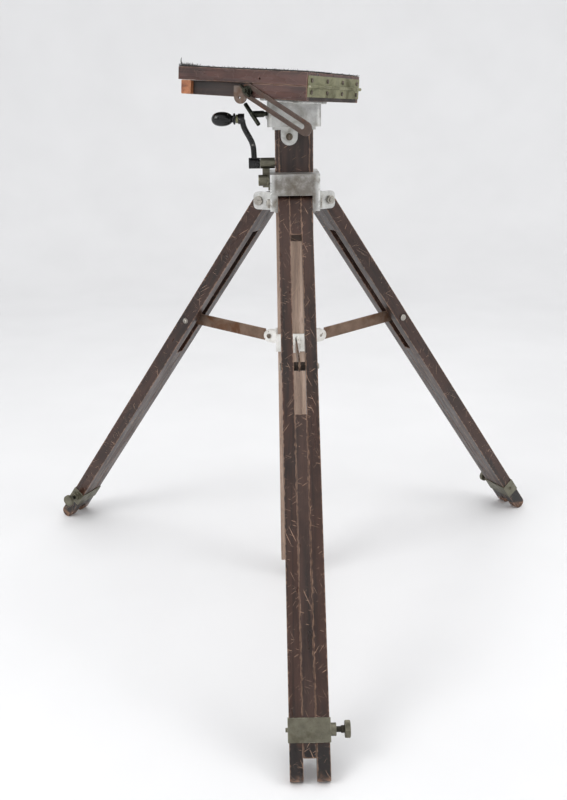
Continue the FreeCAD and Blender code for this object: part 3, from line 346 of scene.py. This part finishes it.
def felt_finish():
    f = Finish("black felt", 0.95)
    here = f.here()
    nap = f.noise(here, 900.0, 4.0, 0.7)
    wool = f.noise(here, 60.0, 4.0)
    colour = f.ramp(nap, (0.3, (0.006, 0.006, 0.006)), (0.7, (0.03, 0.028, 0.027)))
    colour = f.mix(f.step(wool, 0.55, 0.75, 0.0, 0.35), colour, (0.07, 0.06, 0.055))
    f.shader.inputs["Sheen Weight"].default_value = 0.4
    f.relief(nap, 0.8, 0.001)
    return f.finished(colour)


def enamel_finish():
    """White enamel on the collar casting, yellowed and chipped."""
    f = Finish("white enamel", 0.4)
    here = f.here()
    cloud = f.noise(here, 45.0, 4.0, 0.6)
    colour = f.ramp(cloud, (0.35, (0.62, 0.6, 0.55)), (0.6, (0.82, 0.81, 0.78)))
    chips = f.step(f.noise(here, 150.0, 3.0), 0.66, 0.7)
    colour = f.mix(chips, colour, (0.3, 0.26, 0.22))
    f.relief(cloud, 0.25, 0.0008)
    return f.finished(colour, f.step(cloud, 0.3, 0.7, 0.35, 0.55))


FINISHES = {
    "leg_wood": wood("dark leg varnish", (0.011, 0.005, 0.003), (0.052, 0.021, 0.013),
                     stain=foot_stain),
    "bar_wood": wood("sliding bar varnish", (0.014, 0.007, 0.005), (0.056, 0.027, 0.019),
                     stain=foot_stain),
    "column_wood": wood("column stain", (0.012, 0.007, 0.005), (0.05, 0.026, 0.02),
                        stain=column_stain, marks=0.8),
    "board_wood": wood("board varnish", (0.024, 0.01, 0.008), (0.1, 0.042, 0.032),
                       rub=0.0009, marks=0.35, gloss=0.3),
    # Near-black wood for the recessed base panel: painted shade for the recess under the top board's
    # overhang.
    "shade_darkened_recess_wood": wood("inner board darkened for shade", (0.006, 0.003, 0.002), (0.028, 0.013, 0.009),
                        rub=0.0006, marks=0.2, gloss=0.5),
    "cleat_wood": wood("cleat wood", (0.16, 0.045, 0.018), (0.5, 0.19, 0.08),
                       worn=(0.6, 0.32, 0.17), rub=0.001, marks=0.3, gloss=0.4),
    "cast_aluminium": metal("cast aluminium", (0.6, 0.6, 0.58), (0.24, 0.215, 0.17), 0.4,
                            stain=(0.5, 0.78), local=crown_dirt_and_highlight),
    "nickel": metal("tarnished nickel", (0.2, 0.19, 0.145), (0.095, 0.085, 0.06), 0.4,
                    stain=(0.5, 0.75), bright=1.9),
    "strap_steel": metal("browned steel", (0.2, 0.135, 0.098), (0.13, 0.062, 0.032), 0.45, 0.75,
                         stain=(0.5, 0.72), local=brace_end_dark_band),
    "stay_steel": metal("dark browned steel", (0.085, 0.062, 0.052), (0.15, 0.06, 0.028), 0.42, 0.8,
                        stain=(0.56, 0.74), bright=2.2),
    "old_brass": metal("olive brass", (0.3, 0.295, 0.185), (0.12, 0.115, 0.065), 0.42,
                       stain=(0.48, 0.72)),
    "screw_steel": metal("dull screw steel", (0.42, 0.40, 0.36), (0.12, 0.09, 0.07), 0.36,
                         stain=(0.48, 0.7)),
    "dark_steel": metal("blackened steel", (0.05, 0.052, 0.04), (0.02, 0.02, 0.016), 0.38,
                        stain=(0.5, 0.72), bright=2.5),
    "slot_steel": metal("dark slotted screws", (0.15, 0.125, 0.1), (0.05, 0.04, 0.03), 0.4,
                        bright=2.4),
    "plate_steel": metal("greyed steel plate", (0.17, 0.135, 0.115), (0.12, 0.07, 0.045), 0.42, 0.8,
                         bright=2.0),
    "black_paint": black_japan("black japan", 0.24),
    "black_gloss": black_japan("polished black", 0.08),
    "felt": felt_finish(),
    "enamel": enamel_finish(),
}


# ---------------------------------------------------------------- making pieces

WELD = 2e-6
FLAT_FACE = math.radians(0.3)
SHARP_EDGE = math.radians(32.0)
STOCK_STEP = Vector((0.9, 0.37, 0.53))


def islands(mesh):
    """The separate solids of a mesh, as lists of vertices, always in the same order."""
    seen = set()
    for start in mesh.verts:
        if start in seen:
            continue
        seen.add(start)
        group, edge = [start], [start]
        while edge:
            vertex = edge.pop()
            for link in vertex.link_edges:
                other = link.other_vert(vertex)
                if other not in seen:
                    seen.add(other)
                    group.append(other)
                    edge.append(other)
        yield group


def lay_grain(mesh, place, order, seed):
    """Gives each board its place along, across and through, its half sizes and its stock."""
    to_board = place.inverted()
    vectors = mesh.verts.layers.float_vector
    layers = [vectors.new(name) for name in ("place", "half", "stock")]
    for number, group in enumerate(islands(mesh)):
        local = [to_board @ vertex.co for vertex in group]
        low = Vector([min(p[i] for p in local) for i in order])
        high = Vector([max(p[i] for p in local) for i in order])
        middle, half = (low + high) / 2, (high - low) / 2
        stock = STOCK_STEP * (seed + 1.7 * number)
        for vertex, point in zip(group, local):
            vertex[layers[0]] = Vector([point[i] for i in order]) - middle
            vertex[layers[1]] = half
            vertex[layers[2]] = stock


def merged(node):
    """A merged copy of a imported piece, with its flat faces whole."""
    mesh = bmesh.new()
    mesh.from_mesh(frame["nodes"][node].data)
    bmesh.ops.remove_doubles(mesh, verts=mesh.verts, dist=WELD)
    bmesh.ops.dissolve_limit(mesh, angle_limit=FLAT_FACE, verts=mesh.verts, edges=mesh.edges)
    return mesh


def eased(mesh, width, segments):
    """Rounds every sharp edge."""
    edges = [edge for edge in mesh.edges
             if edge.is_manifold and edge.calc_face_angle(0.0) > SHARP_EDGE]
    made = bmesh.ops.bevel(mesh, geom=edges, offset=width, offset_type="OFFSET",
                           segments=segments, profile=0.5, affect="EDGES", clamp_overlap=True,
                           material=-1)
    layer = mesh.loops.layers.float.new("eased")
    for face in made["faces"]:
        for loop in face.loops:
            loop[layer] = 1.0
    return mesh


def show(name, mesh, finish, body, nodes=(), smooth=38.0):
    """Turns a finished mesh into a piece that rides on a body and stands for the nodes."""
    data = bpy.data.meshes.new(name)
    mesh.to_mesh(data)
    mesh.free()
    data.polygons.foreach_set("use_smooth", [True] * len(data.polygons))
    data.set_sharp_from_angle(angle=math.radians(smooth))
    data.materials.append(FINISHES[finish])
    piece = bpy.data.objects.new(name, data)
    bpy.context.scene.collection.objects.link(piece)
    normals = piece.modifiers.new("even shading", "WEIGHTED_NORMAL")
    normals.keep_sharp = True
    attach(piece, body)
    if nodes:
        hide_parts(*nodes)
    return piece


def body_of(node):
    return frame["nodes"][node]["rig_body"]


def remake(node, width, segments=2, grain=None, finish=None, seed=0.0):
    """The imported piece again, with eased edges and its own grain."""
    mesh = eased(merged(node), width, segments) if width else merged(node)
    if grain:
        lay_grain(mesh, *grain, seed)
    return show(node + "_finished", mesh, finish or SLOTS[node], body_of(node), (node,))


def wheel(profile, steps, place):
    """A turned solid: (along, radius) pairs spun about the X axis, then set in place."""
    mesh = bmesh.new()
    verts = [mesh.verts.new((along, radius, 0.0)) for along, radius in profile]
    edges = [mesh.edges.new(pair) for pair in zip(verts, verts[1:])]
    bmesh.ops.spin(mesh, geom=verts + edges, cent=(0, 0, 0), axis=(1, 0, 0),
                   angle=2 * math.pi, steps=steps, use_merge=True)
    bmesh.ops.remove_doubles(mesh, verts=mesh.verts, dist=1e-6)
    bmesh.ops.recalc_face_normals(mesh, faces=mesh.faces)
    bmesh.ops.transform(mesh, matrix=place, verts=mesh.verts)
    return mesh


ALONG_LEG = (2, 1, 0)
ALONG_COLUMN = (2, 0, 1)
ALONG_X = (0, 1, 2)
ALONG_Y = (1, 0, 2)


# ---------------------------------------------------------------- legs

for number, name in enumerate(LEGS):
    place = leg_place(name)
    remake("leg_%s_rails" % name, 0.0013, 3, (place, ALONG_LEG), seed=3.1 * number + 1.0)
    remake("leg_%s_block" % name, 0.0007, 2, (place, ALONG_LEG), seed=5.3 * number + 2.0)
    remake("leg_%s_sliding_bar" % name, 0.0011, 2, (place, ALONG_LEG), seed=4.7 * number + 3.0)
    remake("leg_%s_clamp_band" % name, 0.0009)
    remake("leg_%s_brace_bolt" % name, 0.0008)
    remake("brace_%s" % name, 0.0006)


KNURLS = 72
KNURL_DEPTH = 0.0007
DISC_DEPTH = 0.008
SHANK_RADIUS = 0.004
STEM_RADIUS = 0.0052
DISC_FOOT = 0.0062


def clamp_screw(name):
    """Knurled thumb screw: shank, necked stem and a milled disc."""
    node = "leg_%s_clamp_screw" % name
    place = leg_place(name)
    to_leg = place.inverted()
    local = [to_leg @ vertex.co for vertex in frame["nodes"][node].data.vertices]
    low = Vector([min(p[i] for p in local) for i in range(3)])
    high = Vector([max(p[i] for p in local) for i in range(3)])
    middle = (low.z + high.z) / 2
    radius = (high.z - low.z) / 2
    disc = high.y - DISC_DEPTH
    profile = [(low.y, 0.0), (low.y, SHANK_RADIUS - 0.0006), (low.y + 0.0008, SHANK_RADIUS),
               (disc - 0.0056, SHANK_RADIUS), (disc - 0.005, STEM_RADIUS),
               (disc - 0.0006, STEM_RADIUS), (disc, DISC_FOOT), (disc, radius - 0.0010),
               (disc + 0.0009, radius), (high.y - 0.0009, radius), (high.y, radius - 0.0010),
               (high.y, 0.006), (high.y - 0.0006, 0.0045), (high.y - 0.0006, 0.0)]
    mesh = wheel(profile, KNURLS, UPRIGHT)
    for vertex in mesh.verts:
        reach = math.hypot(vertex.co.y, vertex.co.z)
        spoke = round(math.atan2(vertex.co.z, vertex.co.y) / (2 * math.pi) * KNURLS)
        if reach > radius - 0.0003 and spoke % 2:
            shrink = (radius - KNURL_DEPTH) / reach
            vertex.co.y *= shrink
            vertex.co.z *= shrink
    # The shank and stem under the disc are marked for near-black darkening.
    layer = mesh.loops.layers.float.new("shank_darkening")
    for face in mesh.faces:
        centre = face.calc_center_median()
        if math.hypot(centre.y, centre.z) < DISC_FOOT - 0.0001 and centre.x < disc:
            for loop in face.loops:
                loop[layer] = 0.85
    quarter = Matrix.Rotation(math.radians(90), 4, "Z")
    on_leg = place @ Matrix.Translation((0, 0, middle)) @ quarter
    bmesh.ops.transform(mesh, matrix=on_leg, verts=mesh.verts)
    show(node + "_finished", mesh, "nickel", body_of(node), (node,), smooth=28.0)


for name in LEGS:
    clamp_screw(name)

remake("spreader_collar", 0.0012, 3, finish="enamel")
remake("collar_pins", 0.0006)

# ---------------------------------------------------------------- column and crown

for number, node in enumerate(("column_front_board", "column_back_board", "column_right_board",
                               "column_left_strips", "column_foot_plug")):
    remake(node, 0.0009, 2, (UPRIGHT, ALONG_COLUMN), seed=2.3 * number + 11.0)
remake("head_socket", 0.0018, 3)
remake("tab_screws", 0.0004, finish="slot_steel")
remake("crown_casting", 0.0020, 3)
remake("leg_hinge_bolts", 0.0005)
remake("leg_hinge_nuts", 0.0006)
remake("crank_bearing", 0.0010, 3, finish="nickel")
remake("column_lock_screw", 0.0010, 3, finish="nickel")
remake("pan_lock_screw", 0.0008, 3)
for node in ("column_rack", "drive_pinion", "crank_shaft"):
    remake(node, 0.0)

# ---------------------------------------------------------------- crank

remake("crank_arm", 0.0034, 4)
remake("knob_spindle", 0.0006, finish="old_brass")


SPINDLE_HOLE = 0.0033


def crank_knob():
    """Turned egg knob with a bead and a collar."""
    low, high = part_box("crank_knob")
    end = high.x
    length = high.x - low.x
    radius = (high.z - low.z) / 2
    outline = [(0.0, 0.70), (0.02, 0.80), (0.075, 0.80), (0.095, 0.70), (0.11, 0.50),
               (0.135, 0.46), (0.16, 0.52), (0.185, 0.64), (0.26, 0.80), (0.36, 0.925),
               (0.47, 0.985), (0.58, 1.0), (0.69, 0.975), (0.79, 0.90), (0.875, 0.77),
               (0.94, 0.57), (0.98, 0.34), (0.996, 0.15), (1.0, 0.0)]
    profile = [(0.0, SPINDLE_HOLE)]
    profile += [(-share * length, across * radius) for share, across in outline]
    centre = Matrix.Translation((end, -CRANK_FORWARD, CRANK_HEIGHT + CRANK_THROW))
    mesh = wheel(profile, 56, centre)
    piece = show("crank_knob_finished", mesh, "black_gloss", "crank_grip", ("crank_knob",),
                 smooth=60.0)
    rounded = piece.modifiers.new("turned smooth", "SUBSURF")
    rounded.levels = 1
    rounded.render_levels = 1


crank_knob()

# ---------------------------------------------------------------- platform

# The base panel takes the near-black finish that paints the shade in its recess.
remake("base_panel", 0.0010, 2, (HEAD, ALONG_X), finish="shade_darkened_recess_wood", seed=21.0)
remake("base_end_cleat", 0.0012, 2, (HEAD, ALONG_Y), seed=22.0)
remake("base_side_blocks", 0.0010, 2, (HEAD, ALONG_X), seed=23.0)
remake("top_board", 0.0018, 3, (HEAD, ALONG_X), seed=24.5)
for node, width in (("pan_flange", 0.0010), ("stay_stud", 0.0004), ("hinge_leaf_lower", 0.0004),
                    ("hinge_leaf_upper", 0.0004), ("hinge_pin", 0.0004),
                    ("camera_bush", 0.0004), ("camera_screw", 0.0008),
                    ("stay_guide", 0.0002), ("stay_wing_nut", 0.0006)):
    remake(node, width)
remake("stay_bar", 0.0006, finish="stay_steel")
remake("stay_plate", 0.0005, finish="plate_steel")
remake("hinge_screws_lower", 0.0003, finish="slot_steel")
remake("hinge_screws_upper", 0.0003, finish="slot_steel")


SCREW_AT = Vector((-0.046, 0.0, 0.0))
SCREW_ROOM = 0.0085
FELT_RISE = 0.0004
FELT_DEPTH = 0.0017
FRAY_WIDTH = 0.004


def felt_sheet():
    """Worn felt on the top board: frayed at its edges, with a hole for the camera screw."""
    data = frame["nodes"]["top_felt"].data
    to_head = HEAD.inverted()
    local = [to_head @ vertex.co for vertex in data.vertices]
    low = Vector([min(p[i] for p in local) for i in range(3)])
    high = Vector([max(p[i] for p in local) for i in range(3)])
    size = high - low
    mesh = bmesh.new()
    bmesh.ops.create_grid(mesh, x_segments=120, y_segments=96, size=0.5)
    for vertex in mesh.verts:
        u, v = vertex.co.x + 0.5, vertex.co.y + 0.5
        point = Vector((low.x + u * size.x, low.y + v * size.y, high.z + FELT_RISE))
        edge = min(u * size.x, (1 - u) * size.x, v * size.y, (1 - v) * size.y)
        if edge < FRAY_WIDTH:
            share = 1 - edge / FRAY_WIDTH
            fray = noise.noise(point * 260.0) * 0.0016 + noise.noise(point * 70.0) * 0.0022
            point.x += fray * share
            point.y += noise.noise(point * 240.0 + Vector((9, 9, 9))) * 0.0022 * share
        point.z += noise.noise(point * 35.0) * 0.0004 + abs(noise.noise(point * 150.0)) * 0.0004
        vertex.co = point
    pierced = [vertex for vertex in mesh.verts if (vertex.co - SCREW_AT).xy.length < SCREW_ROOM]
    bmesh.ops.delete(mesh, geom=pierced, context="VERTS")
    bmesh.ops.solidify(mesh, geom=mesh.faces, thickness=FELT_DEPTH)
    bmesh.ops.recalc_face_normals(mesh, faces=mesh.faces)
    bmesh.ops.transform(mesh, matrix=HEAD, verts=mesh.verts)
    show("top_felt_finished", mesh, "felt", "platform_top", ("top_felt",), smooth=60.0)
    return low, high


felt_low, felt_high = felt_sheet()


TUFTS = 520
STAY_FROM = -0.045
CURL_BEADS = 26


def felt_tufts():
    """Loose wool along the felt's front and right edges, thickest at its front left corner."""
    mesh = bmesh.new()
    for number in range(TUFTS):
        side = random.random()
        if side < 0.45:
            along = random.random() ** 1.6 * (felt_high.x - felt_low.x)
            at = Vector((felt_low.x + along, felt_low.y, felt_high.z))
            out = Vector((random.uniform(-0.5, 0.5), -0.5, random.uniform(0.1, 0.9)))
            if at.x > STAY_FROM:
                at.y += 0.0012
                out.y = 0.1
        elif side < 0.7:
            at = Vector((felt_high.x, random.uniform(felt_low.y, felt_high.y), felt_high.z))
            out = Vector((0.5, random.uniform(-0.5, 0.5), random.uniform(0.0, 0.7)))
        else:
            at = Vector((felt_low.x + random.uniform(0.0, 0.035),
                         felt_low.y + random.uniform(0.0, 0.012), felt_high.z))
            out = Vector((random.uniform(-0.8, 0.4), random.uniform(-0.6, 0.2),
                          random.uniform(0.3, 1.0)))
        shortest, longest = (0.0015, 0.0042) if side < 0.7 else (0.003, 0.0075)
        length = random.uniform(shortest, longest)
        turn = out.normalized().to_track_quat("Z", "Y").to_matrix().to_4x4()
        root = Matrix.Translation(at - Vector((0, 0, 0.0007)))
        tuft = root @ turn @ Matrix.Translation((0, 0, length / 2))
        bmesh.ops.create_cone(mesh, cap_ends=True, segments=4, depth=length, radius2=0.00005,
                              radius1=random.uniform(0.0003, 0.0007), matrix=tuft)
    curl = Vector((felt_low.x + 0.004, felt_low.y + 0.003, felt_high.z))
    for number in range(CURL_BEADS):
        share = number / (CURL_BEADS - 1)
        at = curl + Vector((-0.0035 * math.sin(share * 2.2), 0.001 * share, 0.0118 * share))
        bmesh.ops.create_icosphere(mesh, subdivisions=1, radius=0.0014 * (1.15 - share * 0.75),
                                   matrix=Matrix.Translation(at))
    bmesh.ops.transform(mesh, matrix=HEAD, verts=mesh.verts)
    show("felt_loose_wool", mesh, "felt", "platform_top", smooth=60.0)


felt_tufts()

# ---------------------------------------------------------------- floor, light and camera


FLOOR_REACH = 2.6
CURVE = 1.4
CURVE_STEPS = 12
WALL_AT = 4.0


def studio_sweep():
    """Plain pale floor that curves up into a wall all the way round."""
    mesh = bmesh.new()
    profile = [(0.0, 0.0), (1.5, 0.0), (FLOOR_REACH, 0.0)]
    for step in range(1, CURVE_STEPS + 1):
        angle = step * math.pi / (2 * CURVE_STEPS)
        profile.append((FLOOR_REACH + CURVE * math.sin(angle), CURVE - CURVE * math.cos(angle)))
    profile += [(WALL_AT, 2.4), (WALL_AT, 3.6)]
    verts = [mesh.verts.new((reach, 0.0, height)) for reach, height in profile]
    edges = [mesh.edges.new(pair) for pair in zip(verts, verts[1:])]
    bmesh.ops.spin(mesh, geom=verts + edges, cent=(0, 0, 0), axis=(0, 0, 1),
                   angle=2 * math.pi, steps=96, use_merge=True)
    bmesh.ops.remove_doubles(mesh, verts=mesh.verts, dist=1e-5)
    bmesh.ops.recalc_face_normals(mesh, faces=mesh.faces)
    data = bpy.data.meshes.new("studio_sweep")
    mesh.to_mesh(data)
    mesh.free()
    data.polygons.foreach_set("use_smooth", [True] * len(data.polygons))
    sweep = bpy.data.objects.new("studio_sweep", data)
    bpy.context.scene.collection.objects.link(sweep)
    f = Finish("pale paper sweep", 0.7)
    cloud = f.noise(f.here(), 3.0, 2.0)
    paper = f.ramp(cloud, (0.3, (0.80, 0.80, 0.805)), (0.7, (0.83, 0.83, 0.835)))
    data.materials.append(f.finished(paper))


def soft_light(name, at, aim, size, power):
    """White rectangular lamp that faces a point."""
    data = bpy.data.lights.new(name, "AREA")
    data.shape = "RECTANGLE"
    data.size, data.size_y = size
    data.energy = power
    lamp = bpy.data.objects.new(name, data)
    lamp.location = at
    lamp.rotation_euler = (Vector(aim) - Vector(at)).to_track_quat("-Z", "Y").to_euler()
    bpy.context.scene.collection.objects.link(lamp)


studio_sweep()
soft_light("left softbox", (-1.9, -1.5, 2.1), (0.0, -0.1, 0.4), (1.3, 1.6), 30.0)
soft_light("right softbox", (2.1, -1.1, 1.9), (0.0, 0.0, 0.4), (1.2, 1.6), 17.0)
soft_light("overhead", (0.2, 0.4, 3.2), (0.0, 0.2, 0.0), (2.6, 2.2), 25.0)
soft_light("wall light", (-0.2, 1.6, 2.9), (2.2, 3.9, 1.6), (1.0, 1.0), 4.0)

world = bpy.data.worlds.new("studio air")
world.use_nodes = True
air = world.node_tree.nodes["Background"].inputs
air["Color"].default_value = (0.985, 0.99, 1.0, 1.0)
air["Strength"].default_value = 0.8
bpy.context.scene.world = world
bpy.context.scene.view_settings.view_transform = "Standard"


CAMERA_AT = (-0.0417427, -1.5843767, 0.9099447)
CAMERA_TURN = (0.0116, 0.3331, -0.0137)
CAMERA_LENS = 40.51


def studio_camera():
    """The camera that was solved from the photo."""
    yaw, pitch, roll = CAMERA_TURN
    level = math.cos(pitch)
    ahead = Vector((math.sin(yaw) * level, math.cos(yaw) * level, -math.sin(pitch)))
    right = Vector((math.cos(yaw), -math.sin(yaw), 0.0))
    up = right.cross(ahead)
    across = right * math.cos(roll) + up * math.sin(roll)
    upward = up * math.cos(roll) - right * math.sin(roll)
    turn = Matrix((across, upward, -ahead)).transposed().to_4x4()
    data = bpy.data.cameras.new("studio camera")
    data.lens = CAMERA_LENS
    data.sensor_width = 36.0
    data.clip_end = 50.0
    camera = bpy.data.objects.new("studio camera", data)
    camera.matrix_world = Matrix.Translation(CAMERA_AT) @ turn
    bpy.context.scene.collection.objects.link(camera)
    bpy.context.scene.camera = camera


studio_camera()
